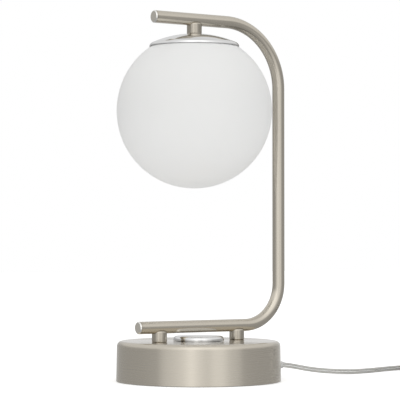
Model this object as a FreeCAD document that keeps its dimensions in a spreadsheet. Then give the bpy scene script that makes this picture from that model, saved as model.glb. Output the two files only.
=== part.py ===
"""Glass globe table lamp, in millimetres, +Z up.

The origin is the middle of the base's resting face. The bent arm lies in the XZ plane: its two
free ends point to -X, its upright stands at +X, and the cord leaves the base below the upright.
"""
import FreeCAD, Part
import math
import os
import re

import Sketcher

Vector = FreeCAD.Vector
doc = FreeCAD.newDocument("globe_table_lamp")

# Driving sizes
SIZES = [
    ("base_diameter", 159.0, "base shell across its foot"),
    ("base_height", 39.0, "table to the base's top face"),
    ("base_draft", 0.65, "how far the side leans in from foot to top"),
    ("base_round", 5.0, "rounded top edge of the base"),
    ("base_sheet", 1.5, "steel of the base shell"),
    ("base_lift", 0.6, "foot of the shell above the table"),
    ("pad_thickness", 2.0, "foam foot pad"),
    ("pad_inset", 2.0, "pad edge inside the shell's inner wall"),
    ("plate_sheet", 1.2, "steel of the bottom plate"),
    ("plate_gap", 0.4, "plate edge to the shell's inner wall"),
    ("weight_room", 18.3, "bottom plate to the cast ring"),
    ("weight_gap", 3.0, "ring edge to the shell's inner wall"),
    ("weight_bore", 64.0, "opening in the ring for the dimmer"),
    ("weight_bevel", 5.0, "bevel that clears the shell's round"),
    ("boss_inset", 12.0, "middle of a cast boss inside the ring's edge"),
    ("boss_diameter", 12.0, "cast boss that takes a plate screw"),
    ("boss_count", 3, "bosses, and screws in the bottom plate"),
    ("screw_diameter", 4.0, "plate screw"),
    ("screw_length", 12.0, "plate screw under its head"),
    ("screw_head", 7.6, "plate screw head across"),
    ("screw_head_height", 1.6, "plate screw head, sunk in the pad"),
    ("hole_play", 0.4, "a fastener's hole over the fastener"),
    ("post_diameter", 14.5, "posts that carry the arm"),
    ("post_spacing", 90.0, "post to post"),
    ("post_gap", 7.95, "base top to the underside of the tube"),
    ("saddle_lip", 3.1, "top of a saddle's lips below the tube's middle"),
    ("braze_gap", 0.1, "solder film in a saddle"),
    ("lip_round", 2.0, "rounded top of a saddle's lips"),
    ("edge_chamfer", 0.5, "broken edge at a post's or stem's free end"),
    ("tube_diameter", 12.0, "arm tube"),
    ("tube_wall", 1.0, "arm tube wall"),
    ("arm_rise", 296.3, "lower run's middle to the upper run's middle"),
    ("upright_place", 95.8, "base axis to the upright's middle"),
    ("lower_end", 69.4, "base axis to the lower run's end face"),
    ("upper_end", 52.0, "base axis to the upper run's end face"),
    ("upper_bend", 63.0, "upper bend, to the tube's middle"),
    ("lower_bend", 40.5, "lower bend, to the tube's middle"),
    ("end_head", 2.5, "visible length of an end plug"),
    ("end_chamfer", 0.9, "bright chamfer round an end plug"),
    ("end_spigot", 8.0, "end plug inside the tube"),
    ("end_play", 0.05, "end plug inside the tube, radial"),
    ("globe_place", 5.0, "globe axis in front of the base axis"),
    ("stem_diameter", 14.5, "stem between the arm and the cap"),
    ("stem_length", 8.0, "underside of the tube to the cap's crown"),
    ("cap_diameter", 87.2, "chrome cap across its rim"),
    ("cap_dome", 102.0, "radius of the cap's crown"),
    ("cap_corner", 4.2, "radius of the cap's turned-down edge"),
    ("cap_sheet", 0.8, "brass of the cap"),
    ("globe_diameter", 150.0, "glass globe"),
    ("glass_wall", 2.5, "glass"),
    ("globe_opening", 76.0, "hole in the top of the globe"),
    ("glass_round", 0.8, "fire-polished edge of the hole"),
    ("rim_gap", 0.25, "cap rim above the glass"),
    ("gasket_width", 1.6, "silicone ring between the glass and the cap"),
    ("gasket_gap", 0.05, "ring to the glass and to the cap"),
    ("gasket_least", 1.0, "least room that the ring needs"),
    ("nipple_diameter", 10.0, "hollow threaded tubes"),
    ("nipple_bore", 7.0, "way for the lead through them"),
    ("nipple_depth", 6.0, "threaded tube inside a post"),
    ("stem_depth", 6.0, "threaded tube inside the stem"),
    ("nut_width", 14.0, "nuts on the hollow tubes, across flats"),
    ("nut_height", 3.5, "nuts on the hollow tubes"),
    ("washer_diameter", 22.0, "washers under the weight"),
    ("washer_sheet", 1.5, "washers under the weight"),
    ("thread_end", 1.0, "thread that stands past a nut"),
    ("bolt_diameter", 6.0, "bolt of the free-end post"),
    ("bolt_head", 10.0, "bolt head across flats"),
    ("bolt_head_height", 4.0, "bolt head"),
    ("plate_diameter", 34.0, "plate that carries the globe's springs"),
    ("holder_sheet", 1.2, "steel of that plate"),
    ("holder_gap", 0.05, "that plate's edge to the cap"),
    ("holder_nut", 3.0, "nut under that plate"),
    ("spring_width", 8.0, "spring strip across"),
    ("spring_sheet", 0.5, "spring strip"),
    ("spring_count", 3, "springs that hold the globe"),
    ("spring_start", 9.5, "spring strip's inner end from the axis"),
    ("spring_flat", 3.0, "spring's flat end past its plate"),
    ("spring_shoulder", 4.5, "spring's bend inside the edge of the globe's hole"),
    ("spring_room", 0.8, "cap above that bend"),
    ("spring_rise", 1.7, "spring's neck above the inside edge of the hole"),
    ("hook_drop", 1.9, "spring's hook below that edge"),
    ("spring_neck", 1.1, "spring inside that edge where it passes it"),
    ("spring_hook", 0.6, "how far the hook reaches past that edge"),
    ("spring_tail", 2.7, "spring's end inside that edge"),
    ("spring_drop", 6.6, "hook to the spring's end"),
    ("rivet_circle", 26.0, "rivets of the springs"),
    ("rivet_diameter", 3.0, "rivets of the springs"),
    ("rivet_head", 5.0, "rivet heads across"),
    ("rivet_head_height", 1.0, "rivet heads"),
    ("rivet_play", 0.1, "rivet holes over the rivets"),
    ("socket_diameter", 28.0, "lampholder across"),
    ("socket_dome", 15.0, "lampholder's upper half"),
    ("socket_skirt", 33.0, "lampholder's lower half"),
    ("socket_wall", 1.6, "moulded walls of the lampholder"),
    ("socket_round", 5.0, "rounded shoulder of the upper half"),
    ("shell_diameter", 15.4, "threaded contact of the lampholder"),
    ("shell_length", 20.0, "threaded contact of the lampholder"),
    ("shell_sheet", 0.4, "its sheet"),
    ("lamp_cap", 14.0, "screw cap of the bulb"),
    ("lamp_cap_length", 22.0, "screw cap of the bulb with its tip"),
    ("lamp_cap_tip", 5.6, "contact at the screw cap's end, across"),
    ("lamp_cap_taper", 3.5, "taper from the screw cap to that contact"),
    ("bulb_diameter", 45.0, "bulb"),
    ("bulb_length", 78.0, "bulb with its screw cap"),
    ("bulb_wall", 1.0, "bulb envelope"),
    ("bulb_collar", 34.0, "bulb's moulded collar across, at the envelope"),
    ("collar_neck", 16.0, "bulb's collar across, at the screw cap"),
    ("collar_wall", 1.5, "bulb's moulded collar"),
    ("socket_boss", 7.0, "threaded boss inside the lampholder"),
    ("socket_core", 8.0, "moulded core that carries the contacts"),
    ("core_drop", 6.0, "core's foot below the lampholder's joint"),
    ("tongue_width", 3.0, "lampholder's centre contact"),
    ("lead_diameter", 3.2, "sheathed lead in the arm"),
    ("lead_bend", 5.0, "lead's bends into and out of the tube"),
    ("lead_level", 9.0, "lead's run under the weight above the table"),
    ("dial_diameter", 49.0, "dimmer dial"),
    ("dial_height", 4.6, "dimmer dial"),
    ("dial_gap", 0.3, "dial above the base"),
    ("dial_round", 3.4, "rounded edge of the dial"),
    ("dial_wall", 1.5, "dial's top"),
    ("dial_rim", 3.6, "dial's rim, at its foot"),
    ("spindle_diameter", 6.0, "dial spindle"),
    ("spindle_play", 0.05, "spindle in its bush, radial"),
    ("spindle_flat", 1.5, "depth of the drive flat on the spindle"),
    ("spindle_stake", 0.8, "spindle let into the dial"),
    ("bush_diameter", 10.0, "threaded bush of the dimmer"),
    ("bush_flange", 14.0, "bush's flange inside the dimmer, across"),
    ("bush_flange_depth", 1.5, "bush's flange"),
    ("bush_nut", 1.7, "nut of the dimmer, under the dial"),
    ("bush_washer", 0.4, "washer under that nut"),
    ("bush_end", 0.2, "bush past that nut"),
    ("bush_washer_edge", 1.0, "washer past the nut"),
    ("dimmer_length", 44.0, "dimmer housing along the arm"),
    ("dimmer_width", 34.0, "dimmer housing across"),
    ("dimmer_wall", 1.8, "dimmer housing's walls"),
    ("dimmer_round", 3.0, "dimmer housing's upright edges"),
    ("board_gap", 0.4, "circuit board to the housing's walls"),
    ("board_sheet", 1.6, "circuit board"),
    ("board_stand", 2.0, "cover to the circuit board"),
    ("rotor_diameter", 20.0, "rotor inside the dimmer"),
    ("rotor_height", 4.0, "rotor inside the dimmer"),
    ("rotor_play", 0.02, "rotor on the spindle, radial"),
    ("rotor_drop", 1.5, "bush's flange to the rotor"),
    ("rotor_room", 1.3, "rotor to the circuit board"),
    ("dial_travel", 270.0, "turn of the dial in degrees"),
    ("stop_reach", 13.5, "rotor's stop lug from the axis"),
    ("stop_pin", 3.0, "pin in the housing that the lug meets at both ends of its travel"),
    ("stop_pin_circle", 24.0, "that pin's circle"),
    ("stop_gap", 0.28, "lug to that pin at each end of the travel"),
    ("cord_width", 5.0, "flat mains cord across"),
    ("cord_room", 0.7, "cord under the hollow tube of the wire post"),
    ("relief_diameter", 10.0, "strain relief at the base"),
    ("relief_tip", 7.2, "strain relief at its end"),
    ("relief_length", 20.0, "strain relief outside the base"),
    ("relief_slot", 0.8, "depth of the rings that let it bend"),
    ("relief_slot_width", 1.4, "those rings along the cord"),
    ("relief_flange", 13.0, "strain relief's flange across"),
    ("relief_flange_depth", 2.0, "strain relief's flange"),
    ("relief_play", 0.15, "strain relief in its hole, radial"),
    ("relief_seat", 0.15, "strain relief's flange to the round wall"),
    ("relief_collar", 11.6, "snap collar inside the wall, across"),
    ("relief_collar_depth", 1.0, "that collar"),
    ("relief_inside", 4.0, "strain relief inside the wall"),
    ("cord_play", 0.05, "cord's sheath in its relief and clamp, radial"),
    ("inner_cord", 4.6, "cord's sheath inside the base"),
    ("cord_bend", 12.0, "its bends beside the wire post"),
    ("cord_rise_bend", 3.0, "its bend up into the dimmer"),
    ("mains_side", 13.0, "cord's inner run beside the arm's plane"),
    ("clamp_length", 8.0, "cord clamp along the cord"),
    ("clamp_across", 31.0, "base axis to the clamp's middle"),
    ("clamp_skin", 1.5, "clamp round the cord and past its screw"),
    ("clamp_screw", 3.0, "screw of the cord clamp"),
    ("clamp_screw_side", 21.0, "that screw beside the arm's plane"),
    ("clamp_screw_grip", 7.0, "that screw inside the weight"),
    ("clamp_screw_head", 5.5, "its head across"),
    ("clamp_head_height", 2.0, "its head"),
    ("coil_middle", 60.0, "coil across the middle of its turns"),
    ("coil_pitch", 5.6, "turn to turn and layer to layer"),
    ("coil_across", 300.0, "coil's middle from the base axis, along the arm"),
    ("coil_side", -18.0, "coil's middle from the base axis, to the side"),
    ("coil_start", 103.0, "where the cord runs into the coil, degrees"),
    ("coil_turns", 8.38, "turns of the coil"),
    ("coil_run_in", 28.0, "straight run into the coil"),
    ("coil_tail", 22.0, "straight end of the coil that carries the plug clear of it"),
    ("plug_length", 34.0, "plug body"),
    ("plug_width", 30.0, "plug body across"),
    ("plug_height", 15.6, "plug body, lying flat"),
    ("plug_neck", 9.0, "plug body at the cord"),
    ("plug_shoulder", 14.0, "neck to the plug's full width"),
    ("plug_round", 4.4, "rounded edges of the plug body along the cord"),
    ("plug_roundest", 0.49, "most that such an edge takes of the plug's height"),
    ("pin_diameter", 4.0, "plug pins"),
    ("pin_length", 19.0, "plug pins"),
    ("pin_spacing", 19.0, "plug pin to plug pin"),
    ("pin_sleeve", 10.0, "moulded sleeve on a pin"),
    ("pin_sleeve_skin", 0.5, "that sleeve's wall"),
    ("pin_root", 12.0, "pin inside the plug body"),
    ("pin_play", 0.02, "pin in its moulding, radial"),
    ("pin_tip", 1.2, "rounded end of a pin"),
]

sheet = doc.addObject("Spreadsheet::Sheet", "sizes")
for row, (alias, number, note) in enumerate(SIZES, start=1):
    sheet.set(f"A{row}", note)
    sheet.set(f"B{row}", str(number))
    sheet.setAlias(f"B{row}", alias)
doc.recompute()
ALIASES = {alias for alias, number, note in SIZES}


def linked(formula):
    """The formula with each size read from the sheet, as another object has to write it."""
    return re.sub(r"[a-z_]+", lambda m: f"sizes.{m[0]}" if m[0] in ALIASES else m[0], str(formula))


def value(formula):
    """The formula's number now."""
    return float(sheet.evalExpression(str(formula)))


# Levels and places that follow from the sizes
POST_X = "post_spacing / 2"
GLOBE_X = "(0 - globe_place)"
LOW_RUN = "(base_height + post_gap + tube_diameter / 2)"
HIGH_RUN = f"({LOW_RUN} + arm_rise)"
TUBE_BORE = "(tube_diameter - 2 * tube_wall)"
SHELL_INSIDE = "(base_diameter / 2 - base_draft - base_sheet)"
CEILING = "(base_height - base_sheet)"
PLATE_TOP = "(pad_thickness + plate_sheet)"
WEIGHT_RIM = f"({SHELL_INSIDE} - weight_gap)"
WEIGHT_FOOT = f"({PLATE_TOP} + weight_room)"
NUT_TOP = f"({WEIGHT_FOOT} - washer_sheet)"
NIPPLE_FOOT = f"({NUT_TOP} - nut_height - thread_end)"
CAP_TOP = f"({HIGH_RUN} - tube_diameter / 2 - stem_length)"
DOME_MIDDLE = f"({CAP_TOP} - cap_dome)"
CORNER_R = "(cap_diameter / 2 - cap_corner)"
CORNER_Z = f"({DOME_MIDDLE} + sqrt((cap_dome - cap_corner)^2 - {CORNER_R}^2))"
RIM_R = "(cap_diameter / 2 - cap_sheet)"
SEAT_R = "(globe_opening / 2 + glass_round)"
RIM_SEAT = f"({CORNER_Z} - rim_gap - sqrt((globe_diameter / 2)^2 - {RIM_R}^2))"
DOME_SEAT = (f"({DOME_MIDDLE} + sqrt((cap_dome - cap_sheet)^2 - {SEAT_R}^2) - gasket_least"
             f" - sqrt((globe_diameter / 2)^2 - {SEAT_R}^2))")
GLOBE_Z = f"min({RIM_SEAT}; {DOME_SEAT})"
HOLDER_TOP = f"({DOME_MIDDLE} + sqrt((cap_dome - cap_sheet)^2 - (plate_diameter / 2)^2) - holder_gap)"
HOLDER_FOOT = f"({HOLDER_TOP} - holder_sheet)"
SOCKET_TOP = f"({HOLDER_FOOT} - holder_nut)"
SOCKET_JOIN = f"({SOCKET_TOP} - socket_dome)"
SOCKET_FOOT = f"({SOCKET_JOIN} - socket_skirt)"
BULB_TOP = f"({SOCKET_FOOT} + lamp_cap_length)"
BULB_FOOT = f"({BULB_TOP} - bulb_length)"
FLANGE_FOOT = f"({CEILING} - dimmer_wall - bush_flange_depth)"
ROTOR_TOP = f"({FLANGE_FOOT} - rotor_drop)"
ROTOR_FOOT = f"({ROTOR_TOP} - rotor_height)"
BOARD_FOOT = f"({ROTOR_FOOT} - rotor_room - board_sheet)"
DIMMER_FOOT = f"({BOARD_FOOT} - board_stand - dimmer_wall)"
STOP_TURN = "((360 - dial_travel) / 2)"
STOP_SIDE = f"(stop_pin_circle / 2 * sin({STOP_TURN}) - stop_pin / 2 - stop_gap)"
DIAL_FOOT = "(base_height + dial_gap)"
DIAL_TOP = f"({DIAL_FOOT} + dial_height)"
BUSH_TOP = "(base_height + bush_washer + bush_nut + bush_end)"
CORD_X = "(base_diameter / 2)"
WIRE_HOLE = "nipple_bore"
WIRE_LEVEL = f"({NIPPLE_FOOT} - cord_room - inner_cord / 2)"
BOSS_Y = f"({WEIGHT_RIM} - boss_inset)"


def on_sphere(radius, middle, across):
    """Height of a sphere's upper half above a point that lies across from its axis."""
    return f"({middle} + sqrt(({radius})^2 - ({across})^2))"


# Sketches and features


def origin_plane(body, role):
    return next(f for f in body.Origin.OriginFeatures if f.Role == role)


def new_body(name):
    body = doc.addObject("PartDesign::Body", name)
    body.AllowCompound = True
    return body


def place(part, across=None, up=None, side=None):
    """Binds a part's place to the sheet."""
    for axis, formula in (("x", across), ("y", side), ("z", up)):
        if formula is not None:
            part.setExpression(f"Placement.Base.{axis}", linked(formula))


def new_sketch(body, role, offset=None):
    sketch = body.newObject("Sketcher::SketchObject", "outline")
    sketch.AttachmentSupport = [(origin_plane(body, role), "")]
    sketch.MapMode = "FlatFace"
    if offset is not None:
        sketch.setExpression("AttachmentOffset.Base.z", linked(offset))
    return sketch


def hold(sketch, kind, geometry, point, formula):
    """Holds a point's distance from the sketch's origin to a formula of the sheet."""
    index = sketch.addConstraint(Sketcher.Constraint(kind, -1, 1, geometry, point, value(formula)))
    sketch.setExpression(f"Constraints[{index}]", linked(formula))


def arc_between(start, end, radius, side):
    """The short arc from start to end, bulging to the left of the way (side 1) or right (-1)."""
    chord = end.sub(start)
    left = Vector(-chord.y, chord.x, 0).normalize()
    depth = math.sqrt(max(radius ** 2 - (chord.Length / 2) ** 2, 0))
    middle = start.add(chord * 0.5).sub(left * (side * depth))
    first, last = (end, start) if side == 1 else (start, end)
    angles = [math.atan2(p.y - middle.y, p.x - middle.x) for p in (first, last)]
    return Part.ArcOfCircle(Part.Circle(middle, Vector(0, 0, 1), radius), *angles)


def draw(sketch, corners, closed=True):
    """Draws a closed outline. A corner is (across, up), or (across, up, radius, side) where an
    arc of that radius leads to the next corner."""
    spots = [Vector(value(c[0]), value(c[1]), 0) for c in corners]
    count = len(corners)
    lines = count if closed else count - 1
    for i, corner in enumerate(corners[:lines]):
        start, end = spots[i], spots[(i + 1) % count]
        if len(corner) > 2:
            sketch.addGeometry(arc_between(start, end, value(corner[2]), corner[3]))
        else:
            sketch.addGeometry(Part.LineSegment(start, end))
    # A sketch keeps every arc counter-clockwise, so an arc that bulges to the left is turned round.
    turned_round = [len(c) > 2 and c[3] == 1 for c in corners]
    for i in range(count if closed else count - 2):
        following = (i + 1) % count
        ends = 1 if turned_round[i] else 2
        starts = 2 if turned_round[following] else 1
        sketch.addConstraint(Sketcher.Constraint("Coincident", i, ends, following, starts))
    for i, corner in enumerate(corners):
        point = 2 if turned_round[i] else 1
        curve = i
        if i == lines:
            curve, point = i - 1, 1 if turned_round[i - 1] else 2
        if str(corner[0]) == "0":
            sketch.addConstraint(Sketcher.Constraint("PointOnObject", curve, point, -2))
        else:
            hold(sketch, "DistanceX", curve, point, corner[0])
        hold(sketch, "DistanceY", curve, point, corner[1])
        if len(corner) > 2:
            index = sketch.addConstraint(Sketcher.Constraint("Radius", i, value(corner[2])))
            sketch.setExpression(f"Constraints[{index}]", linked(corner[2]))


def turn(body, corners):
    """Turns a closed outline about the body's Z axis."""
    sketch = new_sketch(body, "XZ_Plane")
    draw(sketch, corners)
    solid = body.newObject("PartDesign::Revolution", "turned")
    solid.Profile = sketch
    solid.ReferenceAxis = (sketch, ["V_Axis"])
    solid.Angle = 360
    return solid


def turned(name, corners, across=None, up=None):
    body = new_body(name)
    turn(body, corners)
    place(body, across=across, up=up)
    return body


def cylinder(name, diameter, foot, top, bore=None, across=None):
    """A plain turned piece, solid or with a bore."""
    inner = "0" if bore is None else f"{bore} / 2"
    rim = f"{diameter} / 2"
    return turned(name, [(inner, foot), (rim, foot), (rim, top), (inner, top)], across=across)


def add_circle(sketch, diameter, across="0", up="0"):
    centre = Vector(value(across), value(up), 0)
    ring = sketch.addGeometry(Part.Circle(centre, Vector(0, 0, 1), value(diameter) / 2))
    index = sketch.addConstraint(Sketcher.Constraint("Diameter", ring, value(diameter)))
    sketch.setExpression(f"Constraints[{index}]", linked(diameter))
    hold(sketch, "DistanceX", ring, 3, across)
    hold(sketch, "DistanceY", ring, 3, up)


def cut_round(body, role, diameter, first, last, across="0", up="0"):
    """Cuts a round hole between two distances along the plane's normal."""
    sketch = new_sketch(body, role, f"({first} + {last}) / 2")
    add_circle(sketch, diameter, across, up)
    return cut(body, sketch, f"({last}) - ({first})")


def cut(body, sketch, depth):
    pocket = body.newObject("PartDesign::Pocket", "cut")
    pocket.Profile = sketch
    pocket.SideType = "Symmetric"
    pocket.setExpression("Length", linked(depth))
    return pocket


def box_sketch(body, role, left, right, low, high, offset=None):
    sketch = new_sketch(body, role, offset)
    draw(sketch, [(left, low), (right, low), (right, high), (left, high)])
    return sketch


def pad(body, sketch, depth):
    block = body.newObject("PartDesign::Pad", "block")
    block.Profile = sketch
    block.SideType = "Symmetric"
    block.setExpression("Length", linked(depth))
    return block


def disc(body, diameter, foot, top, across="0", side="0"):
    """A round pad between two heights."""
    sketch = new_sketch(body, "XY_Plane", f"({foot} + {top}) / 2")
    add_circle(sketch, diameter, across, side)
    return pad(body, sketch, f"({top}) - ({foot})")


def ring_pattern(body, features, count):
    """Repeats features round the body's Z axis."""
    pattern = body.newObject("PartDesign::PolarPattern", "round_the_axis")
    pattern.Originals = features
    pattern.Axis = (next(f for f in body.Origin.OriginFeatures if f.Role == "Z_Axis"), [""])
    pattern.Angle = 360
    pattern.setExpression("Occurrences", linked(count))
    body.Tip = pattern
    return pattern


def hexagon(body, width, foot, top, bore):
    """A hexagonal nut about the body's Z axis."""
    sketch = new_sketch(body, "XY_Plane", f"({foot} + {top}) / 2")
    corner = f"{width} / sqrt(3)"
    rims = [(f"{corner} * {math.cos(math.radians(60 * i)):.6f}", f"{width} / 2 * {sign}")
            for i, sign in ((0, 0), (1, 1), (2, 1), (3, 0), (4, -1), (5, -1))]
    draw(sketch, rims)
    pad(body, sketch, f"({top}) - ({foot})")
    if bore is not None:
        cut_round(body, "XY_Plane", bore, foot, top)


def nut(name, width, foot, top, bore, across=None):
    body = new_body(name)
    hexagon(body, width, foot, top, bore)
    place(body, across=across)
    return body


# The base: shell, weight, plate and pad


def make_base_shell():
    outer_foot = "base_diameter / 2"
    outer_top = "base_diameter / 2 - base_draft"
    shell = turned("base_shell", [
        (f"{outer_foot} - base_sheet", "base_lift"),
        (outer_foot, "base_lift"),
        (outer_top, "base_height - base_round", "base_round", -1),
        (f"{outer_top} - base_round", "base_height"),
        ("0", "base_height"),
        ("0", CEILING),
        (f"{outer_top} - base_round", CEILING, "base_round - base_sheet", 1),
        (f"{outer_top} - base_sheet", "base_height - base_round"),
    ])
    top = (CEILING, "base_height")
    cut_round(shell, "XY_Plane", "nipple_diameter + hole_play", *top, across=POST_X)
    cut_round(shell, "XY_Plane", "bolt_diameter + hole_play", *top, across=f"0 - {POST_X}")
    cut_round(shell, "XY_Plane", "bush_diameter + hole_play", *top)
    cut_round(shell, "YZ_Plane", "relief_diameter + 2 * relief_play", SHELL_INSIDE + " - base_sheet",
              "base_diameter / 2 + base_sheet", up=WIRE_LEVEL)
    return shell


def make_base_weight():
    weight = turned("base_weight", [
        ("weight_bore / 2", WEIGHT_FOOT),
        (WEIGHT_RIM, WEIGHT_FOOT),
        (WEIGHT_RIM, f"{CEILING} - weight_bevel"),
        (f"{WEIGHT_RIM} - weight_bevel", CEILING),
        ("weight_bore / 2", CEILING),
    ])
    boss = disc(weight, "boss_diameter", PLATE_TOP, WEIGHT_FOOT, "0", BOSS_Y)
    tapped = cut_round(weight, "XY_Plane", "screw_diameter", PLATE_TOP,
                       f"{PLATE_TOP} + screw_length", up=BOSS_Y)
    ring_pattern(weight, [boss, tapped], "boss_count")
    through = (WEIGHT_FOOT, CEILING)
    cut_round(weight, "XY_Plane", "nipple_diameter + hole_play", *through, across=POST_X)
    cut_round(weight, "XY_Plane", "bolt_diameter + hole_play", *through, across=f"0 - {POST_X}")
    cut_round(weight, "XY_Plane", "clamp_screw", WEIGHT_FOOT, f"{WEIGHT_FOOT} + clamp_screw_grip",
              across="clamp_across", up="clamp_screw_side")
    return weight


def make_bottom():
    plate_rim = "(base_diameter / 2 - base_sheet - plate_gap - base_draft / 4)"
    plate = cylinder("bottom_plate", f"2 * {plate_rim}", "pad_thickness", PLATE_TOP)
    hole = cut_round(plate, "XY_Plane", "screw_diameter + hole_play", "pad_thickness", PLATE_TOP,
                     up=BOSS_Y)
    ring_pattern(plate, [hole], "boss_count")
    foot = cylinder("foot_pad", f"2 * ({plate_rim} - pad_inset)", "0", "pad_thickness")
    hole = cut_round(foot, "XY_Plane", "screw_head + 2 * hole_play", "0", "pad_thickness",
                     up=BOSS_Y)
    ring_pattern(foot, [hole], "boss_count")
    head_foot = "(pad_thickness - screw_head_height)"
    screws = new_body("plate_screws")
    shank = disc(screws, "screw_diameter", "pad_thickness", "pad_thickness + screw_length", "0", BOSS_Y)
    head = disc(screws, "screw_head", head_foot, "pad_thickness", "0", BOSS_Y)
    ring_pattern(screws, [shank, head], "boss_count")


# The arm: bent tube, end plugs, posts and stem


def make_arm():
    arm = new_body("arm_tube")
    free_low, free_high = "(end_head - lower_end)", "(end_head - upper_end)"
    path = new_sketch(arm, "XZ_Plane")
    route = [
        (free_low, LOW_RUN),
        ("upright_place - lower_bend", LOW_RUN, "lower_bend", -1),
        ("upright_place", f"{LOW_RUN} + lower_bend"),
        ("upright_place", f"{HIGH_RUN} - upper_bend", "upper_bend", -1),
        ("upright_place - upper_bend", HIGH_RUN),
        (free_high, HIGH_RUN),
    ]
    draw(path, route, closed=False)
    ring = new_sketch(arm, "YZ_Plane", free_low)
    add_circle(ring, "tube_diameter", "0", LOW_RUN)
    add_circle(ring, TUBE_BORE, "0", LOW_RUN)
    tube = arm.newObject("PartDesign::AdditivePipe", "bent_tube")
    tube.Profile = ring
    tube.Spine = (path, [f"Edge{i + 1}" for i in range(len(route) - 1)])
    for across, run in ((POST_X, LOW_RUN), (GLOBE_X, HIGH_RUN)):
        cut_round(arm, "XY_Plane", WIRE_HOLE, f"{run} - tube_diameter", run, across=across)
    face = "(0 - tube_diameter / 2)"
    for name, free, run in (("lower_end_plug", free_low, LOW_RUN), ("upper_end_plug", free_high, HIGH_RUN)):
        plug = new_body(name)
        turn(plug, [
            ("0", "0 - end_spigot"),
            (f"{TUBE_BORE} / 2 - end_play", "0 - end_spigot"),
            (f"{TUBE_BORE} / 2 - end_play", "0"),
            ("tube_diameter / 2", "0"),
            ("tube_diameter / 2", "end_head - end_chamfer"),
            ("tube_diameter / 2 - end_chamfer", "end_head"),
            ("0", "end_head"),
        ])
        plug.Placement = FreeCAD.Placement(Vector(), FreeCAD.Rotation(Vector(0, 1, 0), -90))
        place(plug, across=free, up=run)


def make_saddle_post(name, diameter, across, foot, run, bore, thread, depth):
    """A short round post whose top is hollowed to take the tube, threaded from below."""
    rim = f"{diameter} / 2"
    top = f"({run} - saddle_lip)"
    corners = [
        (f"{thread} / 2", foot),
        (f"{rim} - edge_chamfer", foot),
        (rim, f"{foot} + edge_chamfer"),
        (rim, f"{top} - lip_round", "lip_round", -1),
        (f"{rim} - lip_round", top),
        (f"{bore} / 2", top),
        (f"{bore} / 2", f"{foot} + {depth}"),
        (f"{thread} / 2", f"{foot} + {depth}"),
    ]
    if bore == "0":
        corners[5:7] = [("0", top), ("0", f"{foot} + {depth}")]
    post = turned(name, corners, across=across)
    reach = f"({diameter})"
    cut_round(post, "YZ_Plane", "tube_diameter + 2 * braze_gap", f"0 - {reach}", reach, up=run)
    return post


def make_posts():
    make_saddle_post("wire_post", "post_diameter", POST_X, "base_height", LOW_RUN,
                     "nipple_bore", "nipple_diameter", "nipple_depth")
    make_saddle_post("end_post", "post_diameter", f"0 - {POST_X}", "base_height", LOW_RUN,
                     "0", "bolt_diameter", "nipple_depth")
    make_saddle_post("stem", "stem_diameter", GLOBE_X, CAP_TOP, HIGH_RUN,
                     "nipple_bore", "nipple_diameter", "stem_depth")


def make_post_fasteners():
    cylinder("wire_nipple", "nipple_diameter", NIPPLE_FOOT, "base_height + nipple_depth", "nipple_bore",
             across=POST_X)
    cylinder("nipple_washer", "washer_diameter", NUT_TOP, WEIGHT_FOOT, "nipple_diameter + hole_play",
             across=POST_X)
    nut("nipple_nut", "nut_width", f"{NUT_TOP} - nut_height", NUT_TOP, "nipple_diameter", across=POST_X)
    cylinder("bolt_washer", "washer_diameter", NUT_TOP, WEIGHT_FOOT, "bolt_diameter + hole_play",
             across=f"0 - {POST_X}")
    bolt = new_body("post_bolt")
    hexagon(bolt, "bolt_head", f"{NUT_TOP} - bolt_head_height", NUT_TOP, None)
    disc(bolt, "bolt_diameter", NUT_TOP, "base_height + nipple_depth")
    place(bolt, across=f"0 - {POST_X}")


# The cap, the globe and what holds it


def make_cap():
    hole = "(nipple_diameter + hole_play) / 2"
    inner_dome, inner_corner = "(cap_dome - cap_sheet)", "(cap_corner - cap_sheet)"
    reach = "(cap_dome - cap_corner)"
    rise = f"({CORNER_Z} - {DOME_MIDDLE})"
    turned("globe_cap", [
        (hole, on_sphere(inner_dome, DOME_MIDDLE, hole), inner_dome, 1),
        (f"{CORNER_R} * {inner_dome} / {reach}", f"{DOME_MIDDLE} + {rise} * {inner_dome} / {reach}",
         inner_corner, 1),
        (f"{CORNER_R} + {inner_corner}", CORNER_Z),
        ("cap_diameter / 2", CORNER_Z, "cap_corner", -1),
        (f"{CORNER_R} * cap_dome / {reach}", f"{DOME_MIDDLE} + {rise} * cap_dome / {reach}", "cap_dome", -1),
        (hole, on_sphere("cap_dome", DOME_MIDDLE, hole)),
    ], across=GLOBE_X)


def make_globe():
    outer, inner = "(globe_diameter / 2)", "(globe_diameter / 2 - glass_wall)"
    edge = "globe_opening / 2"
    globe = turned("opal_globe", [
        ("0", f"{GLOBE_Z} - {inner}", inner, -1),
        (edge, on_sphere(inner, GLOBE_Z, edge)),
        (edge, on_sphere(outer, GLOBE_Z, edge), outer, 1),
        ("0", f"{GLOBE_Z} - {outer}"),
    ], across=GLOBE_X)
    round_edges(globe, lambda e: is_ring(e, value(edge)), "glass_round")
    start, end = SEAT_R, f"({SEAT_R} + gasket_width)"
    under, over = f"({outer} + gasket_gap)", "(cap_dome - cap_sheet - gasket_gap)"
    turned("globe_gasket", [
        (start, on_sphere(under, GLOBE_Z, start)),
        (end, on_sphere(under, GLOBE_Z, end)),
        (end, on_sphere(over, DOME_MIDDLE, end)),
        (start, on_sphere(over, DOME_MIDDLE, start)),
    ], across=GLOBE_X)


def is_ring(edge, radius):
    """True for a full circle of about that radius."""
    if edge.Degenerated or not isinstance(edge.Curve, Part.Circle):
        return False
    return edge.Closed and abs(edge.Curve.Radius - radius) < 0.01


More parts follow.
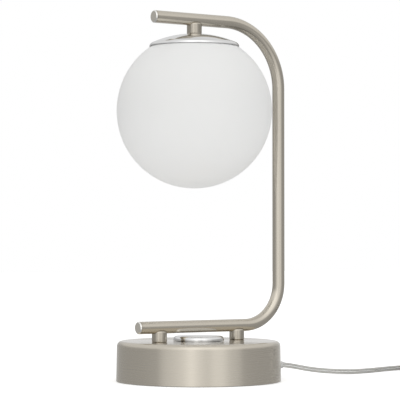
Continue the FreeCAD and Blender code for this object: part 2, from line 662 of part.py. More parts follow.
def round_edges(body, wanted, radius):
    """Rounds the edges of the body's last feature that wanted picks."""
    doc.recompute()
    base = body.Tip
    names = [f"Edge{i + 1}" for i, e in enumerate(base.Shape.Edges) if wanted(e)]
    rounded = body.newObject("PartDesign::Fillet", "rounded")
    rounded.Base = (base, names)
    rounded.setExpression("Radius", linked(radius))
    return rounded


def make_globe_holder():
    plate = cylinder("spring_plate", "plate_diameter", HOLDER_FOOT, HOLDER_TOP,
                     "nipple_diameter + hole_play", across=GLOBE_X)
    hole = cut_round(plate, "XY_Plane", "rivet_diameter + rivet_play", HOLDER_FOOT, HOLDER_TOP,
                     across="rivet_circle / 2")
    ring_pattern(plate, [hole], "spring_count")
    edge = "globe_opening / 2"
    glass_foot = on_sphere("globe_diameter / 2 - glass_wall", GLOBE_Z, edge)
    neck, hook = f"({glass_foot} + spring_rise)", f"({glass_foot} - hook_drop)"
    top, foot = HOLDER_FOOT, f"({HOLDER_FOOT} - spring_sheet)"
    tail = f"({hook} - spring_drop)"
    bend, shoulder = "(plate_diameter / 2 + spring_flat)", f"({edge} - spring_shoulder)"
    shoulder_top = f"({on_sphere('cap_dome - cap_sheet', DOME_MIDDLE, shoulder)} - spring_room)"
    springs = new_body("globe_springs")
    strip = new_sketch(springs, "XZ_Plane")
    draw(strip, [
        ("spring_start", foot),
        (bend, foot),
        (f"{shoulder} - spring_sheet", f"{shoulder_top} - spring_sheet"),
        (f"{edge} - spring_neck - spring_sheet", neck),
        (f"{edge} + spring_hook - spring_sheet", hook),
        (f"{edge} - spring_tail - spring_sheet", tail),
        (f"{edge} - spring_tail", tail),
        (f"{edge} + spring_hook", hook),
        (f"{edge} - spring_neck", neck),
        (shoulder, shoulder_top),
        (bend, top),
        ("spring_start", top),
    ])
    bent = pad(springs, strip, "spring_width")
    hole = cut_round(springs, "XY_Plane", "rivet_diameter + rivet_play", foot, top, across="rivet_circle / 2")
    ring_pattern(springs, [bent, hole], "spring_count")
    place(springs, across=GLOBE_X)
    rivets = new_body("spring_rivets")
    shank = disc(rivets, "rivet_diameter", foot, HOLDER_TOP, "rivet_circle / 2")
    head = disc(rivets, "rivet_head", f"{foot} - rivet_head_height", foot, "rivet_circle / 2")
    ring_pattern(rivets, [shank, head], "spring_count")
    place(rivets, across=GLOBE_X)
    nut("cap_nut", "nut_width", SOCKET_TOP, HOLDER_FOOT, "nipple_diameter", across=GLOBE_X)
    cylinder("stem_nipple", "nipple_diameter", f"{SOCKET_TOP} - socket_boss", f"{CAP_TOP} + stem_depth",
             "nipple_bore", across=GLOBE_X)


# The lampholder and the bulb


def make_lampholder():
    rim, bore = "socket_diameter / 2", "nipple_diameter / 2"
    inside = f"({rim} - socket_wall)"
    crown = "socket_round"
    turned("socket_dome", [
        (bore, f"{SOCKET_TOP} - socket_boss"),
        (f"{bore} + socket_wall", f"{SOCKET_TOP} - socket_boss"),
        (f"{bore} + socket_wall", f"{SOCKET_TOP} - socket_wall"),
        (f"{rim} - {crown}", f"{SOCKET_TOP} - socket_wall", f"{crown} - socket_wall", 1),
        (inside, f"{SOCKET_TOP} - {crown}"),
        (inside, SOCKET_JOIN),
        (rim, SOCKET_JOIN),
        (rim, f"{SOCKET_TOP} - {crown}", crown, -1),
        (f"{rim} - {crown}", SOCKET_TOP),
        (bore, SOCKET_TOP),
    ], across=GLOBE_X)
    cylinder("socket_skirt", "socket_diameter", SOCKET_FOOT, SOCKET_JOIN, f"(2 * {inside})", across=GLOBE_X)
    core_foot = f"({SOCKET_JOIN} - core_drop)"
    core = cylinder("socket_core", f"(2 * ({inside} - end_play))", core_foot, f"{core_foot} + socket_core",
                    across=GLOBE_X)
    cylinder("socket_shell", "shell_diameter", f"{core_foot} - shell_length", core_foot,
             "(shell_diameter - 2 * shell_sheet)", across=GLOBE_X)
    contact = new_body("centre_contact")
    tongue = box_sketch(contact, "XZ_Plane", "0 - tongue_width / 2", "tongue_width / 2", BULB_TOP, core_foot)
    pad(contact, tongue, "tongue_width")
    place(contact, across=GLOBE_X)


def make_bulb():
    cap_foot = f"({BULB_TOP} - lamp_cap_length)"
    turned("bulb_screw_cap", [
        ("0", cap_foot),
        ("lamp_cap / 2", cap_foot),
        ("lamp_cap / 2", f"{BULB_TOP} - lamp_cap_taper"),
        ("lamp_cap_tip / 2", BULB_TOP),
        ("0", BULB_TOP),
    ], across=GLOBE_X)
    ball, hollow = "(bulb_diameter / 2)", "(bulb_diameter / 2 - bulb_wall)"
    middle = f"({BULB_FOOT} + {ball})"
    seam = on_sphere(ball, middle, "bulb_collar / 2")
    inner_seam = "bulb_collar / 2 - bulb_wall"
    turned("bulb_collar", [
        ("0", cap_foot),
        ("0", f"{cap_foot} - collar_wall"),
        ("collar_neck / 2 - collar_wall", f"{cap_foot} - collar_wall"),
        ("bulb_collar / 2 - collar_wall", seam),
        ("bulb_collar / 2", seam),
        ("collar_neck / 2", cap_foot),
    ], across=GLOBE_X)
    turned("bulb_envelope", [
        ("0", BULB_FOOT, ball, -1),
        ("bulb_collar / 2", seam),
        (inner_seam, seam),
        (inner_seam, on_sphere(hollow, middle, inner_seam), hollow, 1),
        ("0", f"{BULB_FOOT} + bulb_wall"),
    ], across=GLOBE_X)


# The dimmer and its dial


def make_dial():
    rim = "dial_diameter / 2"
    ceiling = f"({DIAL_TOP} - dial_wall)"
    turned("dimmer_dial", [
        (f"{rim} - dial_rim", DIAL_FOOT),
        (rim, DIAL_FOOT),
        (rim, f"{DIAL_TOP} - dial_round", "dial_round", -1),
        (f"{rim} - dial_round", DIAL_TOP),
        ("0", DIAL_TOP),
        ("0", f"{ceiling} + spindle_stake"),
        ("spindle_diameter / 2", f"{ceiling} + spindle_stake"),
        ("spindle_diameter / 2", ceiling),
        (f"{rim} - dial_rim", ceiling),
    ])
    spindle = cylinder("dial_spindle", "spindle_diameter", ROTOR_FOOT, f"{ceiling} + spindle_stake")
    flat = box_sketch(spindle, "XY_Plane", "spindle_diameter / 2 - spindle_flat", "spindle_diameter",
                      "0 - spindle_diameter", "spindle_diameter", f"({ROTOR_FOOT} + {ROTOR_TOP}) / 2")
    cut(spindle, flat, "rotor_height")
    rotor = cylinder("dimmer_rotor", "rotor_diameter", ROTOR_FOOT, ROTOR_TOP)
    drive = new_sketch(rotor, "XY_Plane", f"({ROTOR_FOOT} + {ROTOR_TOP}) / 2")
    round_part = "(spindle_diameter / 2 + rotor_play)"
    flat_at = "(spindle_diameter / 2 - spindle_flat + rotor_play)"
    half = f"sqrt({round_part}^2 - {flat_at}^2)"
    draw(drive, [
        (flat_at, f"0 - {half}"),
        (flat_at, half, round_part, -1),
        (f"0 - {round_part}", "0", round_part, -1),
    ])
    cut(rotor, drive, "rotor_height")
    lug = new_sketch(rotor, "XY_Plane", f"({ROTOR_FOOT} + {ROTOR_TOP}) / 2")
    lug_end = f"sqrt(stop_reach^2 - {STOP_SIDE}^2)"
    draw(lug, [
        ("spindle_diameter", f"0 - {STOP_SIDE}"),
        (lug_end, f"0 - {STOP_SIDE}", "stop_reach", -1),
        (lug_end, STOP_SIDE),
        ("spindle_diameter", STOP_SIDE),
    ])
    pad(rotor, lug, "rotor_height")


def make_dimmer():
    half_long, half_wide = "dimmer_length / 2", "dimmer_width / 2"
    cover_top = f"({DIMMER_FOOT} + dimmer_wall)"
    housing = new_body("dimmer_housing")
    plan = box_sketch(housing, "XY_Plane", f"0 - {half_long}", half_long, f"0 - {half_wide}", half_wide,
                      f"({cover_top} + {CEILING}) / 2")
    pad(housing, plan, f"{CEILING} - {cover_top}")
    round_edges(housing, is_upright, "dimmer_round")
    inner_long, inner_wide = f"({half_long} - dimmer_wall)", f"({half_wide} - dimmer_wall)"
    hollow_top = f"({CEILING} - dimmer_wall)"
    hollow = box_sketch(housing, "XY_Plane", f"0 - {inner_long}", inner_long, f"0 - {inner_wide}", inner_wide,
                        f"({cover_top} + {hollow_top}) / 2")
    cut(housing, hollow, f"{hollow_top} - {cover_top}")
    cut_round(housing, "XY_Plane", "bush_diameter", hollow_top, CEILING)
    disc(housing, "stop_pin", ROTOR_FOOT, hollow_top, f"stop_pin_circle / 2 * cos({STOP_TURN})",
         f"stop_pin_circle / 2 * sin({STOP_TURN})")
    cover = new_body("dimmer_cover")
    plan = box_sketch(cover, "XY_Plane", f"0 - {half_long}", half_long, f"0 - {half_wide}", half_wide,
                      f"({cover_top} + {DIMMER_FOOT}) / 2")
    pad(cover, plan, "dimmer_wall")
    round_edges(cover, is_upright, "dimmer_round")
    for spot, lead in ((LEAD_SPOT, "lead_diameter"), ((MAINS_PLACE, "mains_side"), "inner_cord")):
        cut_round(cover, "XY_Plane", f"{lead} + 2 * cord_play", DIMMER_FOOT, cover_top,
                  across=str(spot[0]), up=str(spot[1]))
    board = new_body("dimmer_board")
    board_long, board_wide = f"({inner_long} - board_gap)", f"({inner_wide} - board_gap)"
    plan = box_sketch(board, "XY_Plane", f"0 - {board_long}", board_long, f"0 - {board_wide}", board_wide,
                      f"{BOARD_FOOT} + board_sheet / 2")
    pad(board, plan, "board_sheet")
    bore = "(spindle_diameter / 2 + spindle_play)"
    turned("dimmer_bush", [
        (bore, FLANGE_FOOT),
        ("bush_flange / 2", FLANGE_FOOT),
        ("bush_flange / 2", hollow_top),
        ("bush_diameter / 2", hollow_top),
        ("bush_diameter / 2", BUSH_TOP),
        (bore, BUSH_TOP),
    ])
    cylinder("bush_washer", "bush_flange + 2 * bush_washer_edge", "base_height",
             "base_height + bush_washer", "bush_diameter")
    nut("bush_nut", "bush_flange", "base_height + bush_washer", "base_height + bush_washer + bush_nut",
        "bush_diameter")


def is_upright(edge):
    ends = [v.Point for v in edge.Vertexes]
    return len(ends) == 2 and abs(ends[0].x - ends[1].x) + abs(ends[0].y - ends[1].y) < 0.001


# Leads, the cord and its plug. These routes are points chosen by hand.
LEAD_SPOT = (18, -9)
MAINS_PLACE = 12
RELIEF_RINGS = 4


def rounded_route(points, radii):
    """A wire of straight runs joined by tangent arcs, one radius for each inner point."""
    edges, here = [], points[0]
    for before, corner, after, radius in zip(points, points[1:], points[2:], radii):
        back = before.sub(corner).normalize()
        ahead = after.sub(corner).normalize()
        half = (math.pi - back.getAngle(ahead)) / 2
        reach = radius * math.tan(half)
        start, end = corner.add(back * reach), corner.add(ahead * reach)
        bisector = back.add(ahead).normalize()
        middle = corner.add(bisector * (radius / math.cos(half) - radius))
        edges.append(Part.LineSegment(here, start).toShape())
        edges.append(Part.Arc(start, middle, end).toShape())
        here = end
    edges.append(Part.LineSegment(here, points[-1]).toShape())
    return Part.Wire(edges)


def free_radii(points):
    """The radius of each turn of a free cord: 0.45 of the shorter run over the half turn's tangent."""
    radii = []
    for before, corner, after in zip(points, points[1:], points[2:]):
        back, ahead = before.sub(corner), after.sub(corner)
        half = (math.pi - back.getAngle(ahead)) / 2
        radii.append(0.45 * min(back.Length, ahead.Length) / math.tan(half))
    return radii


def round_cord(name, wire, diameter):
    """A round tube along a wire, checked against its section times its length."""
    first = wire.Edges[0]
    start, direction = first.valueAt(first.FirstParameter), first.tangentAt(first.FirstParameter)
    ring = Part.Wire([Part.Circle(start, direction, diameter / 2).toShape()])
    solid = wire.makePipeShell([ring], True, False)
    expected = math.pi * (diameter / 2) ** 2 * wire.Length
    print(f"{name}: {wire.Length:.1f} mm long, volume {solid.Volume / expected:.4f} of section times length")
    feature = doc.addObject("Part::Feature", name)
    feature.Shape = solid
    return feature


def make_inner_leads():
    bend, level = value("lead_bend"), value("lead_level")
    low, high = value(LOW_RUN), value(HIGH_RUN)
    post, globe, upright = value(POST_X), value(GLOBE_X), value("upright_place")
    floor = value(f"{DIMMER_FOOT} + dimmer_wall")
    route = [
        Vector(*LEAD_SPOT, floor),
        Vector(*LEAD_SPOT, level),
        Vector(post, 0, level),
        Vector(post, 0, low),
        Vector(upright, 0, low),
        Vector(upright, 0, high),
        Vector(globe, 0, high),
        Vector(globe, 0, value(f"{SOCKET_JOIN} - core_drop + socket_core")),
    ]
    radii = [bend, bend, bend, value("lower_bend"), value("upper_bend"), bend]
    round_cord("arm_lead", rounded_route(route, radii), value("lead_diameter"))
    out, side = value(WIRE_LEVEL), value("mains_side")
    route = [
        Vector(value(f"{CORD_X} + relief_length"), 0, out),
        Vector(54, 0, out),
        Vector(42, side, out),
        Vector(MAINS_PLACE, side, out),
        Vector(MAINS_PLACE, side, floor),
    ]
    bends = [value("cord_bend")] * 2 + [value("cord_rise_bend")]
    round_cord("mains_lead", rounded_route(route, bends), value("inner_cord"))


def make_cord_entry():
    wall_out = f"({CORD_X} - base_draft * {WIRE_LEVEL} / base_height)"
    bore = "(inner_cord / 2 + cord_play)"
    inner_face = "(0 - base_sheet - 3 * relief_seat)"
    inner_end = "(0 - base_sheet - relief_inside)"
    tip = f"({CORD_X} + relief_length - {wall_out})"
    relief = new_body("cord_relief")
    turn(relief, [
        (bore, inner_end),
        ("relief_diameter / 2", inner_end),
        ("relief_collar / 2", f"{inner_face} - relief_collar_depth"),
        ("relief_collar / 2", inner_face),
        ("relief_diameter / 2", inner_face),
        ("relief_diameter / 2", "relief_seat"),
        ("relief_flange / 2", "relief_seat"),
        ("relief_flange / 2", "relief_flange_depth"),
        ("relief_diameter / 2", "relief_flange_depth"),
        *bending_rings(tip),
        ("relief_tip / 2", tip),
        (bore, tip),
    ])
    relief.Placement = FreeCAD.Placement(Vector(), FreeCAD.Rotation(Vector(0, 1, 0), 90))
    place(relief, across=wall_out, up=WIRE_LEVEL)
    clamp_foot = f"({WIRE_LEVEL} - inner_cord / 2 - clamp_skin)"
    near, far = "(clamp_across - clamp_length / 2)", "(clamp_across + clamp_length / 2)"
    clamp = new_body("cord_clamp")
    plan = box_sketch(clamp, "XY_Plane", near, far, f"mains_side - {bore} - clamp_skin",
                      "clamp_screw_side + clamp_screw + clamp_skin", f"({clamp_foot} + {WEIGHT_FOOT}) / 2")
    pad(clamp, plan, f"{WEIGHT_FOOT} - {clamp_foot}")
    cut_round(clamp, "YZ_Plane", f"2 * {bore}", near, far, across="mains_side", up=WIRE_LEVEL)
    spot = ("clamp_across", "clamp_screw_side")
    cut_round(clamp, "XY_Plane", "clamp_screw + hole_play", clamp_foot, WEIGHT_FOOT, *spot)
    screw = new_body("clamp_screw")
    disc(screw, "clamp_screw", clamp_foot, f"{WEIGHT_FOOT} + clamp_screw_grip", *spot)
    disc(screw, "clamp_screw_head", f"{clamp_foot} - clamp_head_height", clamp_foot, *spot)


def bending_rings(tip):
    """The relief's taper up to its tip, with the rings cut round it that let it bend."""
    run = f"({tip} - relief_flange_depth)"
    points = []
    for i in range(RELIEF_RINGS):
        middle = f"(relief_flange_depth + {run} * {i + 1} / {RELIEF_RINGS + 1})"
        near, far = f"({middle} - relief_slot_width / 2)", f"({middle} + relief_slot_width / 2)"
        for along, depth in ((near, "0"), (near, "relief_slot"), (far, "relief_slot"), (far, "0")):
            narrowing = f"(relief_diameter - relief_tip) / 2 * ({along} - relief_flange_depth) / {run}"
            points.append((f"relief_diameter / 2 - {narrowing} - {depth}", along))
    return points


def coil_curve():
    """The coil's centreline: in at a steady rate, up a layer in half a turn, and out again.
    Returns its points and directions at each quarter turn or less."""
    pitch, turns, radius = value("coil_pitch"), value("coil_turns"), value("cord_width / 2")
    middle = Vector(value("coil_across"), value("coil_side"), 0)
    layer = (turns - 0.5) / 2
    outer = value("coil_middle") / 2 + pitch * layer / 2

    def at(u):
        if u < layer:
            r, rise = outer - pitch * u, 0
        elif u < layer + 0.5:
            v = u - layer
            r = outer - pitch * layer - pitch * v + 2 * pitch * v * v
            rise = (2 * v) ** 2 * (3 - 4 * v)
        else:
            r, rise = outer - pitch * layer + pitch * (u - layer - 0.5), 1
        angle = math.radians(value("coil_start")) - 2 * math.pi * u
        return middle.add(Vector(r * math.cos(angle), r * math.sin(angle), radius + pitch * rise))

    steps = math.ceil(layer / 0.25)
    stops = [layer * i / steps for i in range(steps + 1)]
    stops += [layer + 0.25]
    stops += [layer + 0.5 + layer * i / steps for i in range(steps + 1)]
    small = 1e-5
    ways = [at(u + small).sub(at(u - small)).normalize() for u in stops]
    return [at(u) for u in stops], ways


def biarc(start, way, end, way_end):
    """Two arcs from start to end that keep both directions."""
    chord = end.sub(start)
    both = way.add(way_end)
    a, b, c = 2 * (1 - way.dot(way_end)), 2 * chord.dot(both), -chord.dot(chord)
    reach = (-b + math.sqrt(b * b - 4 * a * c)) / (2 * a)
    joint = start.add(way * reach).add(end.sub(way_end * reach)) * 0.5
    edges = []
    for first, direction, last in ((start, way, joint), (end, way_end * -1, joint)):
        leg = last.sub(first)
        normal = leg.sub(direction * leg.dot(direction))
        radius = leg.dot(leg) / (2 * normal.Length)
        centre = first.add(normal.normalize() * radius)
        middle = centre.add(first.add(last).multiply(0.5).sub(centre).normalize() * radius)
        ends = (first, last) if first is start else (last, first)
        edges.append(Part.Arc(ends[0], middle, ends[1]).toShape())
    return edges


def make_cord():
    spots, ways = coil_curve()
    width = value("cord_width")
    lead_in = spots[0].sub(ways[0] * width)
    tail = spots[-1].add(ways[-1] * value("coil_tail"))
    route = [
        Vector(value(f"{CORD_X} + relief_length"), 0, value(WIRE_LEVEL)),
        Vector(115, 0, value(WIRE_LEVEL)),
        Vector(135, -1.4, 8.4),
        Vector(158, -4.0, 3.7),
        Vector(186, -5.6, 2.5),
        Vector(215, 0.5, 2.5),
        Vector(238, 9.0, 2.5),
        spots[0].sub(ways[0] * value("coil_run_in")),
        lead_in,
    ]
    radii = free_radii(route)
    print("cord_lead radii:", [round(r) for r in radii])
    round_cord("cord_lead", rounded_route(route, radii), width)
    edges = [Part.LineSegment(lead_in, spots[0]).toShape()]
    for i in range(len(spots) - 1):
        edges += biarc(spots[i], ways[i], spots[i + 1], ways[i + 1])
    edges.append(Part.LineSegment(spots[-1], tail).toShape())
    coil = Part.Wire(edges)
    print("cord_coil least gap:", round(least_gap(coil, width), 2))
    print("cord_coil tightest turn:", round(min(e.Curve.Radius for e in edges[1:-1]), 1))
    round_cord("cord_coil", coil, width)
    return tail, ways[-1]


def least_gap(wire, width):
    """The coil's least gap to itself, between points more than a quarter of a turn apart."""
    step, apart = 2.0, 40
    points = wire.discretize(Distance=step)
    skip = round(apart / step)
    least = min(points[i].distanceToPoint(points[j]) for i in range(len(points))
                for j in range(i + skip, len(points)))
    return least - width


def rounded_box(body, half_wide, half_tall, radius, offset):
    """A rectangle about the axis with round corners, as a sketch at that height."""
    sketch = new_sketch(body, "XY_Plane", offset)
    flat, upright = f"({half_wide} - {radius})", f"({half_tall} - {radius})"
    draw(sketch, [
        (f"0 - {flat}", f"0 - {half_tall}"),
        (flat, f"0 - {half_tall}", radius, -1),
        (half_wide, f"0 - {upright}"),
        (half_wide, upright, radius, -1),
        (flat, half_tall),
        (f"0 - {flat}", half_tall, radius, -1),
        (f"0 - {half_wide}", upright),
        (f"0 - {half_wide}", f"0 - {upright}", radius, -1),
    ])
    return sketch


def make_plug(tail, way):
    """The moulded plug on the cord's end, lying flat beside the coil."""
    lies = FreeCAD.Placement(tail, FreeCAD.Rotation(way.cross(Vector(0, 0, 1)), Vector(0, 0, 1), way, "ZXY"))
    plug = new_body("plug_body")
    sections = []
    for depth, wide, tall in (("0", "plug_neck", "plug_neck"),
                              ("plug_shoulder", "plug_width - plug_neck / 2", "plug_height"),
                              ("plug_length", "plug_width", "plug_height")):
        corner = f"min(plug_round; {tall} * plug_roundest)"
        sections.append(rounded_box(plug, f"({wide}) / 2", f"{tall} / 2", corner, depth))
    loft = plug.newObject("PartDesign::AdditiveLoft", "moulding")
    loft.Profile = sections[0]
    loft.Sections = sections[1:]
    loft.Ruled = True
    pins = new_body("plug_pins")
    sleeve_end, pin_end = "plug_length + pin_sleeve", "plug_length + pin_length"
    root, shank = "plug_length - pin_root", "pin_diameter - 2 * pin_sleeve_skin"
    for side in ("pin_spacing / 2", "0 - pin_spacing / 2"):
        disc(plug, "pin_diameter", root, sleeve_end, side)
        cut_round(plug, "XY_Plane", f"{shank} + 2 * pin_play", root, sleeve_end, across=side)
        disc(pins, shank, root, sleeve_end, side)
        disc(pins, "pin_diameter", sleeve_end, pin_end, side)
    end_level, rim = value(pin_end), value("pin_diameter / 2")
    round_edges(pins, lambda e: is_ring(e, rim) and abs(e.Curve.Center.z - end_level) < 0.01, "pin_tip")
    for body in (plug, pins):
        body.Placement = lies


make_base_shell()
make_base_weight()
make_bottom()
make_arm()
make_posts()
make_post_fasteners()
make_cap()
make_globe()
make_globe_holder()
make_lampholder()
make_bulb()
make_dial()
make_dimmer()
make_inner_leads()
make_cord_entry()
make_plug(*make_cord())
doc.recompute()


def check_and_write():
    """Stops on anything that failed, and writes each sub-part."""
    for item in doc.Objects:
        if {"Invalid", "Error"} & set(item.State):
            raise RuntimeError(f"{item.Label} is {item.State}")
    for item in doc.Objects:
        if item.TypeId == "PartDesign::Pocket" and item.BaseFeature.Shape.Volume - item.Shape.Volume < 0.01:
            raise RuntimeError(f"{item.Label} in {item.getParentGeoFeatureGroup().Label} cuts nothing")
    os.makedirs("parts", exist_ok=True)
    parts = [o for o in doc.Objects if o.TypeId in ("PartDesign::Body", "Part::Feature")]
    for item in parts:
        if item.Shape.isNull() or not item.Shape.isValid():
            raise RuntimeError(f"{item.Label} has no valid shape")
        item.Shape.exportStep(f"parts/{item.Label}.step")
    print(f"wrote {len(parts)} sub-parts")


check_and_write()
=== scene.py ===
import math

import bmesh
import bpy
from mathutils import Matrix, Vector


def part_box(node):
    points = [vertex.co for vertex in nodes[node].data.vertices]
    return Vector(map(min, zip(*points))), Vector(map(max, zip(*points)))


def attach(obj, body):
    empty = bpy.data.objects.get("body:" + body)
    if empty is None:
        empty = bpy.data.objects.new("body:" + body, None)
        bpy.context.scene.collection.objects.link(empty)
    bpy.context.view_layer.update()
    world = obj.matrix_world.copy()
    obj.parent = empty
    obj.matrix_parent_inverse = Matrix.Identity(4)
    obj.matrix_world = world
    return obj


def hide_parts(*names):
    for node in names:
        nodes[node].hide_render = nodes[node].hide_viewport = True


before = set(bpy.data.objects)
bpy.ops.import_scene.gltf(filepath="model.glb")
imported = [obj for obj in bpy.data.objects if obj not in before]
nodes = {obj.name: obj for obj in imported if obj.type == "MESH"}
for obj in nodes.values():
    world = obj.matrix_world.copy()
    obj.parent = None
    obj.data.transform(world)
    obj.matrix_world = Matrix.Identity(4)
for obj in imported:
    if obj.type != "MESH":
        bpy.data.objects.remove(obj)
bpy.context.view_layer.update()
print("frame loaded:", len(nodes), "nodes")


# Camera, fitted to the photograph's square frame. The arm's free ends are nearer than its upright.
cameraView = {
    "place": (-1.0232, -1.5129, 0.13195),
    "heading": (0.5608, 0.8279),
    "pitchUp": math.radians(1.344),
    "lens": 170.16,
    "sensor": 36.0,
    "near": 0.05,
    "far": 60.0,
}


def makeCamera():
    camera = bpy.data.objects.new("lampCamera", bpy.data.cameras.new("lampCamera"))
    bpy.context.scene.collection.objects.link(camera)
    level = math.cos(cameraView["pitchUp"])
    acrossX, acrossY = cameraView["heading"]
    look = Vector((acrossX * level, acrossY * level, math.sin(cameraView["pitchUp"])))
    camera.rotation_mode = "QUATERNION"
    camera.location = cameraView["place"]
    camera.rotation_quaternion = look.to_track_quat("-Z", "Y")
    camera.data.lens = cameraView["lens"]
    camera.data.sensor_width = cameraView["sensor"]
    camera.data.clip_start = cameraView["near"]
    camera.data.clip_end = cameraView["far"]
    bpy.context.scene.camera = camera
    bpy.context.scene.view_settings.view_transform = "Standard"


# Node helpers. A source that is a socket is linked, anything else is set as the value.
def feed(tree, target, source):
    if isinstance(source, bpy.types.NodeSocket):
        tree.links.new(source, target)
    else:
        target.default_value = source


def addNode(tree, kind, inputs=None, **settings):
    node = tree.nodes.new(kind)
    for name, value in settings.items():
        setattr(node, name, value)
    for name, source in (inputs or {}).items():
        feed(tree, node.inputs[name], source)
    return node


def emptyTree(owner):
    owner.use_nodes = True
    owner.node_tree.nodes.clear()
    return owner.node_tree


def calc(tree, operation, *sources):
    node = addNode(tree, "ShaderNodeMath", operation=operation)
    for socket, source in zip(node.inputs, sources):
        feed(tree, socket, source)
    return node.outputs[0]


def ramped(tree, source, start, end, low=0.0, high=1.0):
    # a smooth step from low to high while the source goes from start to end
    inputs = {"Value": source, "From Min": start, "From Max": end, "To Min": low, "To Max": high}
    node = addNode(tree, "ShaderNodeMapRange", inputs, interpolation_type="SMOOTHSTEP")
    return node.outputs["Result"]


# The mix node's sockets share their names, so they go by number.
def mixColour(tree, share, first, second):
    node = addNode(tree, "ShaderNodeMix", data_type="RGBA")
    feed(tree, node.inputs["Factor"], share)
    feed(tree, node.inputs[6], first)
    feed(tree, node.inputs[7], second)
    return node.outputs[2]


def mixValue(tree, share, first, second):
    node = addNode(tree, "ShaderNodeMix", data_type="FLOAT")
    feed(tree, node.inputs["Factor"], share)
    feed(tree, node.inputs[2], first)
    feed(tree, node.inputs[3], second)
    return node.outputs[0]


def axes(tree, vector):
    return addNode(tree, "ShaderNodeSeparateXYZ", {"Vector": vector}).outputs


def grey(level):
    return (level, level, level, 1.0)


def seenStraight(tree):
    # 1 where the camera sees it, also through clear plastic, and 0 for reflections and light
    rays = addNode(tree, "ShaderNodeLightPath").outputs
    return calc(tree, "MAXIMUM", rays["Is Camera Ray"], rays["Is Transmission Ray"])


# Studio. White shows behind the lamp, and the lamp reflects soft boxes between darker side walls.
# A band is an angle round the lamp from the camera's side, positive to its right, and its level.
studio = {
    "bands": (
        (-180, 0.75), (-165, 0.52), (-148, 0.44), (-120, 0.43), (-85, 0.44), (-60, 0.49), (-50, 0.74),
        (-43, 0.82), (-33, 0.90), (-22, 1.02), (-10, 1.32), (0, 1.06), (12, 0.88), (23, 1.08),
        (34, 1.06), (44, 0.80), (59, 0.66), (65, 0.48), (78, 0.44), (100, 0.43), (128, 0.44),
        (150, 0.52), (166, 0.66), (180, 0.75),
    ),
    "raisedBands": (
        (-180, 0.76), (-110, 0.84), (-62, 0.90), (-45, 1.02), (-25, 1.28), (-6, 1.50), (14, 1.30),
        (26, 1.36), (48, 1.12), (62, 0.98), (85, 0.90), (110, 0.84), (180, 0.76),
    ),
    "raisedFrom": 0.14, "raisedTo": 0.42,
    "overhead": 0.76, "overheadFrom": 0.82, "overheadTo": 0.97,
    "below": 0.43, "belowFrom": -0.12, "belowTo": -0.50,
    "underneath": 0.18, "underneathFrom": -0.70, "underneathTo": -0.97,
    "floorSize": 6.0, "floorColour": (0.93, 0.93, 0.93, 1.0), "floorGlow": 0.35,
}


def bandLevels(tree, around, levels):
    ramp = addNode(tree, "ShaderNodeValToRGB", {"Fac": around})
    stops = ramp.color_ramp.elements
    for _ in levels[2:]:
        stops.new(0.5)
    for stop, (angle, level) in zip(stops, levels):
        stop.position = angle / 360 + 0.5
        stop.color = grey(level)
    return ramp.outputs["Color"]


def makeWorld():
    world = bpy.data.worlds.new("studio")
    bpy.context.scene.world = world
    tree = emptyTree(world)
    headingX, headingY = cameraView["heading"]
    toCamera = math.atan2(-headingY, -headingX)
    direction = addNode(tree, "ShaderNodeTexCoord").outputs["Generated"]
    turning = addNode(tree, "ShaderNodeMapping", {"Vector": direction, "Rotation": (0, 0, -toCamera)})
    turned = turning.outputs[0]
    radial = addNode(tree, "ShaderNodeTexGradient", {"Vector": turned}, gradient_type="RADIAL")
    around = radial.outputs["Fac"]
    height = axes(tree, turned)["Z"]
    level = bandLevels(tree, around, studio["bands"])
    zones = {
        "raised": bandLevels(tree, around, studio["raisedBands"]),
        "overhead": grey(studio["overhead"]),
        "below": grey(studio["below"]),
        "underneath": grey(studio["underneath"]),
    }
    for zone, zoneLevel in zones.items():
        share = ramped(tree, height, studio[zone + "From"], studio[zone + "To"])
        level = mixColour(tree, share, level, zoneLevel)
    shown = mixColour(tree, seenStraight(tree), level, grey(1.0))
    background = addNode(tree, "ShaderNodeBackground", {"Color": shown, "Strength": 1.0})
    output = addNode(tree, "ShaderNodeOutputWorld")
    tree.links.new(background.outputs[0], output.inputs["Surface"])


def makeFloor():
    mesh = bpy.data.meshes.new("studioFloor")
    shape = bmesh.new()
    bmesh.ops.create_grid(shape, x_segments=1, y_segments=1, size=studio["floorSize"])
    shape.to_mesh(mesh)
    shape.free()
    floor = bpy.data.objects.new("studioFloor", mesh)
    bpy.context.scene.collection.objects.link(floor)
    material = bpy.data.materials.new("studioFloor")
    tree = emptyTree(material)
    paint = addNode(tree, "ShaderNodeBsdfDiffuse", {"Color": studio["floorColour"]})
    brightness = calc(tree, "MULTIPLY", seenStraight(tree), studio["floorGlow"])
    glow = addNode(tree, "ShaderNodeEmission", {"Color": grey(1.0), "Strength": brightness})
    both = addNode(tree, "ShaderNodeAddShader")
    tree.links.new(paint.outputs[0], both.inputs[0])
    tree.links.new(glow.outputs[0], both.inputs[1])
    tree.links.new(both.outputs[0], addNode(tree, "ShaderNodeOutputMaterial").inputs["Surface"])
    mesh.materials.append(material)
    floor.visible_glossy = False  # metal sees the studio's side walls down to the ground


makeCamera()
makeWorld()
makeFloor()
print("camera, world and floor made")


# Surface groups. Each gives a fine height for roughness and bump, and a broader shade or drift for
# colour. The shade keeps a share of the lines. Details and roughness are the noise's own, and the
# least radius keeps the middle of the axis from dividing by zero.
turnedGrain = {
    "shadeShare": 0.12, "heightDetail": 4.0, "shadeDetail": 3.0, "roughness": 0.65,
    "leastRadius": 0.0001,
}
drawnGrain = {"shadeShare": 0.3, "heightDetail": 3.0, "shadeDetail": 2.0, "roughness": 0.6}
evenGrain = {"heightDetail": 3.0, "driftDetail": 2.0, "roughness": 0.55}
noiseSpan = (0.3, 0.7)  # what most of a noise lies between


